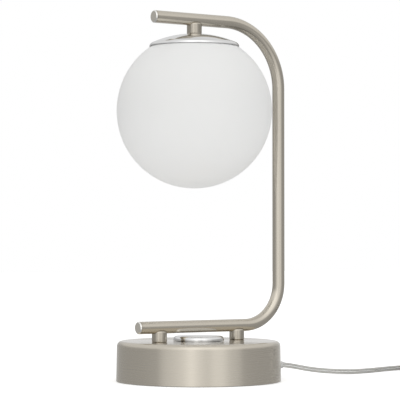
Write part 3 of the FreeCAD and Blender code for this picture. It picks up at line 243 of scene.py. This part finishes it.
def newGroup(name, values, results):
    # a vector and some values in, some values out
    group = bpy.data.node_groups.new(name, "ShaderNodeTree")
    group.interface.new_socket(name="Vector", in_out="INPUT", socket_type="NodeSocketVector")
    for label in values:
        group.interface.new_socket(name=label, in_out="INPUT", socket_type="NodeSocketFloat")
    for label in results:
        group.interface.new_socket(name=label, in_out="OUTPUT", socket_type="NodeSocketFloat")
    given = group.nodes.new("NodeGroupInput").outputs
    out = group.nodes.new("NodeGroupOutput").inputs
    return group, given, out


def makeTurnedLines():
    # lines round an upright axis, on walls and on flat faces alike
    group, given, out = newGroup("turnedLines", ("Lines", "Reach"), ("Height", "Shade"))
    x, y, z = axes(group, given["Vector"])
    squares = calc(group, "ADD", calc(group, "MULTIPLY", x, x), calc(group, "MULTIPLY", y, y))
    radius = calc(group, "MAXIMUM", calc(group, "SQRT", squares), turnedGrain["leastRadius"])
    profile = calc(group, "SUBTRACT", radius, z)
    reach = calc(group, "DIVIDE", given["Reach"], radius)
    towardX = calc(group, "MULTIPLY", x, reach)
    towardY = calc(group, "MULTIPLY", y, reach)
    looks = (
        ("Height", 1.0, turnedGrain["heightDetail"]),
        ("Shade", turnedGrain["shadeShare"], turnedGrain["shadeDetail"]),
    )
    for label, share, detail in looks:
        across = calc(group, "MULTIPLY", profile, calc(group, "MULTIPLY", given["Lines"], share))
        place = addNode(group, "ShaderNodeCombineXYZ", {"X": towardX, "Y": towardY, "Z": across})
        grain = addNode(group, "ShaderNodeTexNoise", {
            "Vector": place.outputs[0], "Scale": 1.0,
            "Detail": detail, "Roughness": turnedGrain["roughness"],
        })
        feed(group, out[label], grain.outputs["Fac"])
    return group


def makeDrawnLines():
    # lines along a bent tube. Off Axis and the vector's Y are constant along it, bends included
    group, given, out = newGroup("drawnLines", ("Off Axis", "Lines", "Reach"), ("Height", "Shade"))
    x, side, z = axes(group, given["Vector"])
    along = calc(group, "MULTIPLY", x, given["Reach"])
    alongUp = calc(group, "MULTIPLY", z, given["Reach"])
    looks = (
        ("Height", 1.0, drawnGrain["heightDetail"]),
        ("Shade", drawnGrain["shadeShare"], drawnGrain["shadeDetail"]),
    )
    for label, share, detail in looks:
        fine = calc(group, "MULTIPLY", given["Lines"], share)
        across = calc(group, "MULTIPLY", side, fine)
        outward = calc(group, "MULTIPLY", given["Off Axis"], fine)
        place = addNode(group, "ShaderNodeCombineXYZ", {"X": along, "Y": across, "Z": outward})
        grain = addNode(group, "ShaderNodeTexNoise", noise_dimensions="4D", inputs={
            "Vector": place.outputs[0], "W": alongUp, "Scale": 1.0,
            "Detail": detail, "Roughness": drawnGrain["roughness"],
        })
        feed(group, out[label], grain.outputs["Fac"])
    return group


def makeEvenGrain():
    # an even grain for moulded, cast, foamed and frosted surfaces, and a broad drift under it
    group, given, out = newGroup("fineGrain", ("Size", "Drift Size"), ("Height", "Drift"))
    looks = (
        ("Height", "Size", evenGrain["heightDetail"]),
        ("Drift", "Drift Size", evenGrain["driftDetail"]),
    )
    for label, size, detail in looks:
        noise = addNode(group, "ShaderNodeTexNoise", {
            "Vector": given["Vector"], "Scale": calc(group, "DIVIDE", 1.0, given[size]),
            "Detail": detail, "Roughness": evenGrain["roughness"],
        })
        feed(group, out[label], noise.outputs["Fac"])
    return group


turnedLines = makeTurnedLines()
drawnLines = makeDrawnLines()
fineGrain = makeEvenGrain()
print("surface groups made")


# Helpers of the finishes. In a keyword, an underscore stands for the space in a socket's name.
def startMaterial(name, **sockets):
    material = bpy.data.materials.new(name)
    tree = emptyTree(material)
    surface = addNode(tree, "ShaderNodeBsdfPrincipled")
    output = addNode(tree, "ShaderNodeOutputMaterial")
    tree.links.new(surface.outputs[0], output.inputs["Surface"])
    for label, value in sockets.items():
        surface.inputs[label.replace("_", " ")].default_value = value
    return material, tree, surface


def objectPlace(tree, centre=(0, 0, 0)):
    place = addNode(tree, "ShaderNodeTexCoord").outputs["Object"]
    moved = addNode(tree, "ShaderNodeMapping", {"Vector": place, "Location": [-c for c in centre]})
    return moved.outputs[0]


def facing(tree, axis):
    # how far the surface faces along an axis, from -1 to 1
    return axes(tree, addNode(tree, "ShaderNodeNewGeometry").outputs["Normal"])[axis]


def groupNode(tree, group, **inputs):
    node = addNode(tree, "ShaderNodeGroup", node_tree=group)
    for name, source in inputs.items():
        feed(tree, node.inputs[name.replace("_", " ")], source)
    return node.outputs


def shaded(tree, colour, source, change):
    # the colour, a little darker to a little lighter as the source goes from 0 to 1
    dark = (*[c * (1 - change) for c in colour], 1.0)
    light = (*[min(1.0, c * (1 + change)) for c in colour], 1.0)
    return mixColour(tree, source, dark, light)


def roughened(tree, noise, low, high):
    return ramped(tree, noise, *noiseSpan, low, high)


def bumped(tree, surface, height, depth):
    bump = addNode(tree, "ShaderNodeBump", {"Height": height, "Distance": depth, "Strength": 1.0})
    tree.links.new(bump.outputs[0], surface.inputs["Normal"])


def grained(tree, surface, finish):
    grain = groupNode(tree, fineGrain, Vector=objectPlace(tree), Size=finish["grainSize"],
                      Drift_Size=finish["driftSize"])
    colour = shaded(tree, finish["colour"], grain["Drift"], finish["colourChange"])
    feed(tree, surface.inputs["Base Color"], colour)
    feed(tree, surface.inputs["Roughness"], roughened(tree, grain["Height"], *finish["rough"]))
    bumped(tree, surface, grain["Height"], finish["grainDepth"])


# Satin nickel of the base, the arm, and the turned posts, stem and end plugs.
# The bends are the radii of the tube's middle. An edge or a face is where an end plug's surface
# faces lengthwise by that much.
nickel = {
    "colourChange": 0.008,
    "acrossLines": 0.25,  # a quarter turn, so that highlights spread across the lines
    "baseColour": (0.630, 0.584, 0.504),
    "baseRough": (0.24, 0.28),
    "baseLines": 7000.0, "baseReach": 2.2, "baseDepth": 0.00000035, "baseAnisotropic": 0.90,
    "topRough": 0.13, "topFrom": 0.93, "topTo": 0.995,
    "armColour": (0.590, 0.547, 0.472),
    "armRough": (0.17, 0.20),
    "armLines": 2600.0, "armReach": 30.0, "armDepth": 0.0000004, "armAnisotropic": 0.60,
    "lowBend": 0.0405, "highBend": 0.063,
    # painted shade: the turned pieces' nickel is darker than the base's, for the shade the posts sit in
    # below the tube
    "turnedShadedColour": (0.505, 0.465, 0.398),
    "turnedRough": (0.16, 0.20),
    "turnedLines": 9000.0, "turnedReach": 2.0, "turnedDepth": 0.00000035,
    # the end plug's edge is polished, and its lighter colour is a painted highlight
    "edgeHighlightColour": (0.90, 0.89, 0.86, 1.0), "edgeRough": 0.10,
    "edgeStart": 0.3, "edgeFull": 0.6, "edgeFade": 0.8, "edgeEnd": 0.95,
    # painted reflection: the end plug's face is painted lighter than its nickel, standing in for a
    # brighter reflection
    "faceReflectionColour": (0.83, 0.79, 0.71, 1.0), "faceStart": 0.95, "faceFull": 0.99,
}


def baseNickel():
    material, tree, surface = startMaterial(
        "baseNickel", Metallic=1.0, Anisotropic=nickel["baseAnisotropic"],
        Anisotropic_Rotation=nickel["acrossLines"])
    lines = groupNode(tree, turnedLines, Vector=objectPlace(tree), Lines=nickel["baseLines"],
                      Reach=nickel["baseReach"])
    colour = shaded(tree, nickel["baseColour"], lines["Shade"], nickel["colourChange"])
    feed(tree, surface.inputs["Base Color"], colour)
    side = roughened(tree, lines["Height"], *nickel["baseRough"])
    top = ramped(tree, facing(tree, "Z"), nickel["topFrom"], nickel["topTo"])
    feed(tree, surface.inputs["Roughness"], mixValue(tree, top, side, nickel["topRough"]))
    bumped(tree, surface, lines["Height"], nickel["baseDepth"])
    around = addNode(tree, "ShaderNodeTangent", direction_type="RADIAL", axis="Z")
    tree.links.new(around.outputs[0], surface.inputs["Tangent"])
    return material


def armNickel():
    material, tree, surface = startMaterial(
        "armNickel", Metallic=1.0, Anisotropic=nickel["armAnisotropic"],
        Anisotropic_Rotation=nickel["acrossLines"])
    low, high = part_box("arm_tube")
    radius = (high.y - low.y) / 2
    place = objectPlace(tree)
    x, side, z = axes(tree, place)
    # each bend turns about a middle, and a line joins the two. What counts is its nearest point
    upper = calc(tree, "GREATER_THAN", z, (low.z + high.z) / 2)
    bend = mixValue(tree, upper, nickel["lowBend"], nickel["highBend"])
    middleX = calc(tree, "MINIMUM", x, calc(tree, "SUBTRACT", high.x - radius, bend))
    highest = high.z - radius - nickel["highBend"]
    lowest = low.z + radius + nickel["lowBend"]
    middleZ = calc(tree, "MINIMUM", calc(tree, "MAXIMUM", z, lowest), highest)
    outX = calc(tree, "SUBTRACT", x, middleX)
    outZ = calc(tree, "SUBTRACT", z, middleZ)
    outward = addNode(tree, "ShaderNodeCombineXYZ", {"X": outX, "Z": outZ})
    reach = addNode(tree, "ShaderNodeVectorMath", operation="LENGTH")
    tree.links.new(outward.outputs[0], reach.inputs[0])
    offAxis = calc(tree, "SUBTRACT", reach.outputs["Value"], bend)
    lines = groupNode(tree, drawnLines, Vector=place, Off_Axis=offAxis, Lines=nickel["armLines"],
                      Reach=nickel["armReach"])
    colour = shaded(tree, nickel["armColour"], lines["Shade"], nickel["colourChange"])
    feed(tree, surface.inputs["Base Color"], colour)
    feed(tree, surface.inputs["Roughness"], roughened(tree, lines["Height"], *nickel["armRough"]))
    bumped(tree, surface, lines["Height"], nickel["armDepth"])
    backward = calc(tree, "MULTIPLY", outZ, -1.0)
    lengthwise = addNode(tree, "ShaderNodeCombineXYZ", {"X": backward, "Z": outX})
    tree.links.new(lengthwise.outputs[0], surface.inputs["Tangent"])
    return material


def turnedNickel(name, node, lengthwise):
    # lines round the piece's own axis, upright or lengthwise, in nickel painted darker as shade, and on
    # an end plug a polished edge whose colour is a painted highlight and a face painted lighter as a
    # reflection
    low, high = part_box(node)
    material, tree, surface = startMaterial(name, Metallic=1.0)
    turn = (0.0, math.radians(90), 0.0) if lengthwise else (0.0, 0.0, 0.0)
    centred = objectPlace(tree, (low + high) / 2)
    place = addNode(tree, "ShaderNodeMapping", {"Vector": centred, "Rotation": turn})
    lines = groupNode(tree, turnedLines, Vector=place.outputs[0], Lines=nickel["turnedLines"],
                      Reach=nickel["turnedReach"])
    # colour of the turned pieces, darkened with painted shade
    colour = shaded(tree, nickel["turnedShadedColour"], lines["Shade"], nickel["colourChange"])
    rough = roughened(tree, lines["Height"], *nickel["turnedRough"])
    if lengthwise:
        slope = calc(tree, "ABSOLUTE", facing(tree, "X"))
        rising = ramped(tree, slope, nickel["edgeStart"], nickel["edgeFull"])
        falling = ramped(tree, slope, nickel["edgeEnd"], nickel["edgeFade"])
        edge = calc(tree, "MULTIPLY", rising, falling)
        face = ramped(tree, slope, nickel["faceStart"], nickel["faceFull"])
        # painted reflection lightening the end plug's face
        colour = mixColour(tree, face, colour, nickel["faceReflectionColour"])
        # painted highlight on the polished edge of the end plug
        colour = mixColour(tree, edge, colour, nickel["edgeHighlightColour"])
        rough = mixValue(tree, edge, rough, nickel["edgeRough"])
    feed(tree, surface.inputs["Base Color"], colour)
    feed(tree, surface.inputs["Roughness"], rough)
    bumped(tree, surface, lines["Height"], nickel["turnedDepth"])
    return material


# Mirror chrome of the cap and the dial.
chrome = {
    "colour": (0.78, 0.78, 0.775), "colourChange": 0.02,
    "rough": (0.035, 0.075),
    "lines": 9000.0, "reach": 3.0, "depth": 0.0000004,
}


def chromeOn(name, node):
    low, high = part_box(node)
    centre = ((low.x + high.x) / 2, (low.y + high.y) / 2, low.z)
    material, tree, surface = startMaterial(name, Metallic=1.0)
    lines = groupNode(tree, turnedLines, Vector=objectPlace(tree, centre), Lines=chrome["lines"],
                      Reach=chrome["reach"])
    colour = shaded(tree, chrome["colour"], lines["Shade"], chrome["colourChange"])
    feed(tree, surface.inputs["Base Color"], colour)
    feed(tree, surface.inputs["Roughness"], roughened(tree, lines["Shade"], *chrome["rough"]))
    bumped(tree, surface, lines["Height"], chrome["depth"])
    return material


# Satin opal glass of the globe. Its underside carries a painted glow: light emitted though the globe is
# no lamp, lifting the shaded underside as light scattered round inside the globe would. It grows from
# the first to the second given height that the surface faces.
opal = {
    "colour": (0.850, 0.850, 0.836), "colourChange": 0.012,
    "rough": (0.38, 0.46), "gloss": 0.4, "bending": 1.5,
    "grainSize": 0.0006, "grainDepth": 0.000004, "driftSize": 0.045,
    "underSkin": 0.25, "underSkinDepth": 0.006, "underSkinReach": (1.0, 0.96, 0.9),
    "paintedUnderGlow": 0.11, "glowFrom": 0.3, "glowTo": -1.0,
}


def opalGlass():
    material, tree, surface = startMaterial(
        "opalGlass", IOR=opal["bending"], Specular_IOR_Level=opal["gloss"],
        Subsurface_Weight=opal["underSkin"], Subsurface_Scale=opal["underSkinDepth"],
        Subsurface_Radius=opal["underSkinReach"], Emission_Strength=1.0)
    grained(tree, surface, opal)
    # painted glow, strongest where the surface faces down, that lightens the globe's shaded underside
    under = ramped(tree, facing(tree, "Z"), opal["glowFrom"], opal["glowTo"])
    inner = mixColour(tree, under, grey(0.0), grey(opal["paintedUnderGlow"]))
    feed(tree, surface.inputs["Emission Color"], inner)
    return material


# Plain metals. Each finish here and below has its own grain and drift, in metres.
plainMetals = {
    "zinc_steel": {
        "colour": (0.52, 0.53, 0.53), "colourChange": 0.10, "rough": (0.28, 0.48),
        "grainSize": 0.0012, "grainDepth": 0.000010, "driftSize": 0.006,
    },
    "spring_steel": {
        "colour": (0.50, 0.50, 0.51), "colourChange": 0.05, "rough": (0.16, 0.28),
        "grainSize": 0.0005, "grainDepth": 0.000003, "driftSize": 0.008,
    },
    "contact_brass": {
        "colour": (0.70, 0.52, 0.25), "colourChange": 0.08, "rough": (0.18, 0.34),
        "grainSize": 0.0006, "grainDepth": 0.000004, "driftSize": 0.005,
    },
    "tinned_wire": {
        "colour": (0.56, 0.55, 0.52), "colourChange": 0.08, "rough": (0.34, 0.48),
        "grainSize": 0.0007, "grainDepth": 0.000004, "driftSize": 0.006,
    },
    "bulb_metal": {
        "colour": (0.70, 0.70, 0.69), "colourChange": 0.05, "rough": (0.20, 0.34),
        "grainSize": 0.0007, "grainDepth": 0.000004, "driftSize": 0.006,
    },
    "plug_metal": {
        "colour": (0.66, 0.64, 0.60), "colourChange": 0.05, "rough": (0.12, 0.26),
        "grainSize": 0.0005, "grainDepth": 0.000003, "driftSize": 0.004,
    },
}

# Moulded, cast and foamed surfaces.
moulded = {
    "cast_iron": {
        "colour": (0.030, 0.030, 0.031), "colourChange": 0.25, "rough": (0.50, 0.78),
        "grainSize": 0.0011, "grainDepth": 0.00022, "driftSize": 0.02,
    },
    "foot_foam": {
        "colour": (0.035, 0.035, 0.036), "colourChange": 0.30, "rough": (0.85, 0.97),
        "grainSize": 0.0007, "grainDepth": 0.00016, "driftSize": 0.02,
    },
    "silicone": {
        "colour": (0.74, 0.74, 0.72), "colourChange": 0.03, "rough": (0.42, 0.58),
        "grainSize": 0.0009, "grainDepth": 0.00002, "driftSize": 0.015,
    },
    "socket_plastic": {
        "colour": (0.78, 0.77, 0.73), "colourChange": 0.03, "rough": (0.34, 0.48),
        "grainSize": 0.0006, "grainDepth": 0.00001, "driftSize": 0.012,
    },
    "bulb_shell": {
        "colour": (0.84, 0.84, 0.83), "colourChange": 0.02, "rough": (0.26, 0.36),
        "grainSize": 0.0006, "grainDepth": 0.000006, "driftSize": 0.012,
    },
    "bulb_diffuser": {
        "colour": (0.88, 0.88, 0.86), "colourChange": 0.02, "rough": (0.44, 0.56),
        "grainSize": 0.0005, "grainDepth": 0.000008, "driftSize": 0.012,
    },
    "dimmer_plastic": {
        "colour": (0.012, 0.012, 0.013), "colourChange": 0.15, "rough": (0.36, 0.52),
        "grainSize": 0.0005, "grainDepth": 0.00002, "driftSize": 0.01,
    },
    "circuit_board": {
        "colour": (0.020, 0.120, 0.050), "colourChange": 0.15, "rough": (0.30, 0.46),
        "grainSize": 0.0004, "grainDepth": 0.00001, "driftSize": 0.006,
    },
    "lead_sheath": {
        "colour": (0.68, 0.68, 0.66), "colourChange": 0.04, "rough": (0.30, 0.42),
        "grainSize": 0.0008, "grainDepth": 0.00001, "driftSize": 0.01,
    },
}

# Clear moulded and extruded plastic. What isn't clear of it is milky.
clearBending = 1.5
clearPlastics = {
    "clear_cord": {
        "clear": 0.82, "colour": (0.93, 0.93, 0.91), "colourChange": 0.02, "rough": (0.10, 0.18),
        "grainSize": 0.0009, "grainDepth": 0.000006, "driftSize": 0.02,
    },
    "clear_plastic": {
        "clear": 0.35, "colour": (0.86, 0.86, 0.84), "colourChange": 0.02, "rough": (0.14, 0.22),
        "grainSize": 0.0009, "grainDepth": 0.000006, "driftSize": 0.02,
    },
    "plug_plastic": {
        "clear": 0.85, "colour": (0.90, 0.90, 0.88), "colourChange": 0.02, "rough": (0.16, 0.24),
        "grainSize": 0.0009, "grainDepth": 0.000008, "driftSize": 0.02,
    },
}


def grainedMaterial(name, finish, **sockets):
    material, tree, surface = startMaterial(name, **sockets)
    grained(tree, surface, finish)
    return material


finishes = {
    "base_nickel": baseNickel(),
    "arm_nickel": armNickel(),
    "cap_chrome": chromeOn("capChrome", "globe_cap"),
    "dial_chrome": chromeOn("dialChrome", "dimmer_dial"),
    "opal_glass": opalGlass(),
}
for name, finish in plainMetals.items():
    finishes[name] = grainedMaterial(name, finish, Metallic=1.0)
for name, finish in moulded.items():
    finishes[name] = grainedMaterial(name, finish, Metallic=0.0)
for name, finish in clearPlastics.items():
    finishes[name] = grainedMaterial(name, finish, IOR=clearBending,
                                     Transmission_Weight=finish["clear"])

uprightTurned = ("wire_post", "end_post", "stem")
lengthwiseTurned = ("lower_end_plug", "upper_end_plug")


def dressNodes():
    for node in nodes.values():
        for slot in node.material_slots:
            slot.material = finishes[slot.material.name]
    for name in uprightTurned + lengthwiseTurned:
        for slot in nodes[name].material_slots:
            slot.material = turnedNickel("nickel_" + name, name, name in lengthwiseTurned)


dressNodes()
print("materials made:", len(finishes))


# The cord: a clear flat twin cord, standing on its edge. Its route repeats the model's.
# The coil goes in a layer at the bottom, climbs, and comes out again on top.
cordShape = {
    "route": (
        (0.0995, 0.0, 0.0125), (0.110, 0.0, 0.0113), (0.134, -0.0014, 0.0066), (0.158, -0.0040, 0.0039),
        (0.186, -0.0056, 0.0025), (0.215, 0.0005, 0.0025), (0.238, 0.0090, 0.0025),
    ),
    "length": 1.76, "width": 0.005,
    "coilMiddle": (0.300, -0.018), "coilRadius": 0.030, "coilPitch": 0.0056,
    "coilTurns": 8.38, "coilClimb": 0.5, "coilStart": math.radians(103),
    "runIn": 0.028, "runInEnd": 0.005, "tail": 0.022,
    "pointsPerTurn": 16, "smoothness": 6, "tinyTurn": 0.00001,
    "sheathRadius": 0.00127, "waist": math.radians(50), "sheathPoints": 10,
    "coreApart": 0.00245, "coreRadius": 0.00075, "corePoints": 8,
    "weld": 0.000001,
}


def coilPoint(turn):
    # in at a steady rate, up a layer while the spiral reverses, and out again
    pitch = cordShape["coilPitch"]
    climb = cordShape["coilClimb"]
    layer = (cordShape["coilTurns"] - climb) / 2
    outer = cordShape["coilRadius"] + pitch * layer / 2
    inner = outer - pitch * layer
    if turn < layer:
        radius = outer - pitch * turn
        rise = 0.0
    elif turn < layer + climb:
        over = turn - layer
        share = over / climb
        radius = inner - pitch * over * (1 - share)
        rise = share ** 2 * (3 - 2 * share)
    else:
        radius = inner + pitch * (turn - layer - climb)
        rise = 1.0
    angle = cordShape["coilStart"] - math.tau * turn
    middleX, middleY = cordShape["coilMiddle"]
    height = cordShape["width"] / 2 + pitch * rise
    return Vector((middleX + radius * math.cos(angle), middleY + radius * math.sin(angle), height))


def cordRoute():
    turns = cordShape["coilTurns"]
    tiny = cordShape["tinyTurn"]
    steps = round(turns * cordShape["pointsPerTurn"])
    coil = [coilPoint(turns * i / steps) for i in range(steps + 1)]
    wayIn = (coilPoint(tiny) - coilPoint(0)).normalized()
    wayOut = (coilPoint(turns) - coilPoint(turns - tiny)).normalized()
    runIn = [coil[0] - wayIn * cordShape["runIn"], coil[0] - wayIn * cordShape["runInEnd"]]
    runOut = [coil[-1] + wayOut * cordShape["tail"]]
    return [Vector(p) for p in cordShape["route"]] + runIn + coil + runOut


def routeCurve(points):
    curve = bpy.data.curves.new("cordRoute", "CURVE")
    curve.dimensions = "3D"
    curve.twist_mode = "Z_UP"
    curve.resolution_u = cordShape["smoothness"]
    spline = curve.splines.new("NURBS")
    spline.points.add(len(points) - 1)
    for point, place in zip(spline.points, points):
        point.co = (*place, 1.0)
    spline.order_u = 3
    spline.use_endpoint_u = True
    return curve


def profileCurve(name, outlines):
    # closed outlines of a section, one spline each
    curve = bpy.data.curves.new(name, "CURVE")
    curve.dimensions = "2D"
    for outline in outlines:
        spline = curve.splines.new("POLY")
        spline.points.add(len(outline) - 1)
        for point, (across, up) in zip(spline.points, outline):
            point.co = (across, up, 0.0, 1.0)
        spline.use_cyclic_u = True
    return curve


def arcPoints(middle, radius, start, end, count):
    # an arc about a point of the section's upright middle line
    angles = [start + (end - start) * i / (count - 1) for i in range(count)]
    return [(radius * math.cos(angle), middle + radius * math.sin(angle)) for angle in angles]


def dropCurve(helper):
    curve = helper.data
    bpy.data.objects.remove(helper)
    bpy.data.curves.remove(curve)


def sweptMesh(name, points, outlines):
    section = bpy.data.objects.new(name + "Section", profileCurve(name + "Section", outlines))
    curve = routeCurve(points)
    curve.bevel_mode = "OBJECT"
    curve.bevel_object = section
    curve.use_fill_caps = True
    helper = bpy.data.objects.new(name, curve)
    for made in (section, helper):
        bpy.context.scene.collection.objects.link(made)
    seen = bpy.context.evaluated_depsgraph_get()
    mesh = bpy.data.meshes.new_from_object(helper.evaluated_get(seen))
    dropCurve(helper)
    dropCurve(section)
    mesh.name = name
    shape = bmesh.new()
    shape.from_mesh(mesh)
    bmesh.ops.remove_doubles(shape, verts=shape.verts, dist=cordShape["weld"])
    bmesh.ops.recalc_face_normals(shape, faces=shape.faces)
    for face in shape.faces:
        face.smooth = len(face.verts) == 4  # the end caps stay flat
    shape.to_mesh(mesh)
    shape.free()
    piece = bpy.data.objects.new(name, mesh)
    bpy.context.scene.collection.objects.link(piece)
    return piece


def routeLine(points):
    helper = bpy.data.objects.new("cordLine", routeCurve(points))
    mesh = bpy.data.meshes.new_from_object(helper)
    line = [tuple(vertex.co) for vertex in mesh.vertices]
    bpy.data.meshes.remove(mesh)
    dropCurve(helper)
    return line


def sheathOutline():
    # two round lobes, one above the other, with a waist between them
    waist = cordShape["waist"]
    upper = arcPoints(cordShape["coreApart"] / 2, cordShape["sheathRadius"], -waist, math.pi + waist,
                      cordShape["sheathPoints"])
    return upper + [(-across, -up) for across, up in upper]


def coreOutline(side):
    count = cordShape["corePoints"]
    lastAngle = math.tau * (count - 1) / count
    return arcPoints(side * cordShape["coreApart"] / 2, cordShape["coreRadius"], 0, lastAngle, count)


def makeCord():
    points = cordRoute()
    sheath = sweptMesh("cord_sheath", points, [sheathOutline()])
    sheath.data.materials.append(finishes["clear_cord"])
    cores = sweptMesh("cord_cores", points, [coreOutline(1), coreOutline(-1)])
    cores.data.materials.append(finishes["tinned_wire"])
    for piece in (sheath, cores):
        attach(piece, "root")
    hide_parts("cord_lead", "cord_coil")
    line = routeLine(points)
    print("cord:", len(line), "rings,", len(sheath.data.polygons), "faces")


makeCord()


print("scene finished")
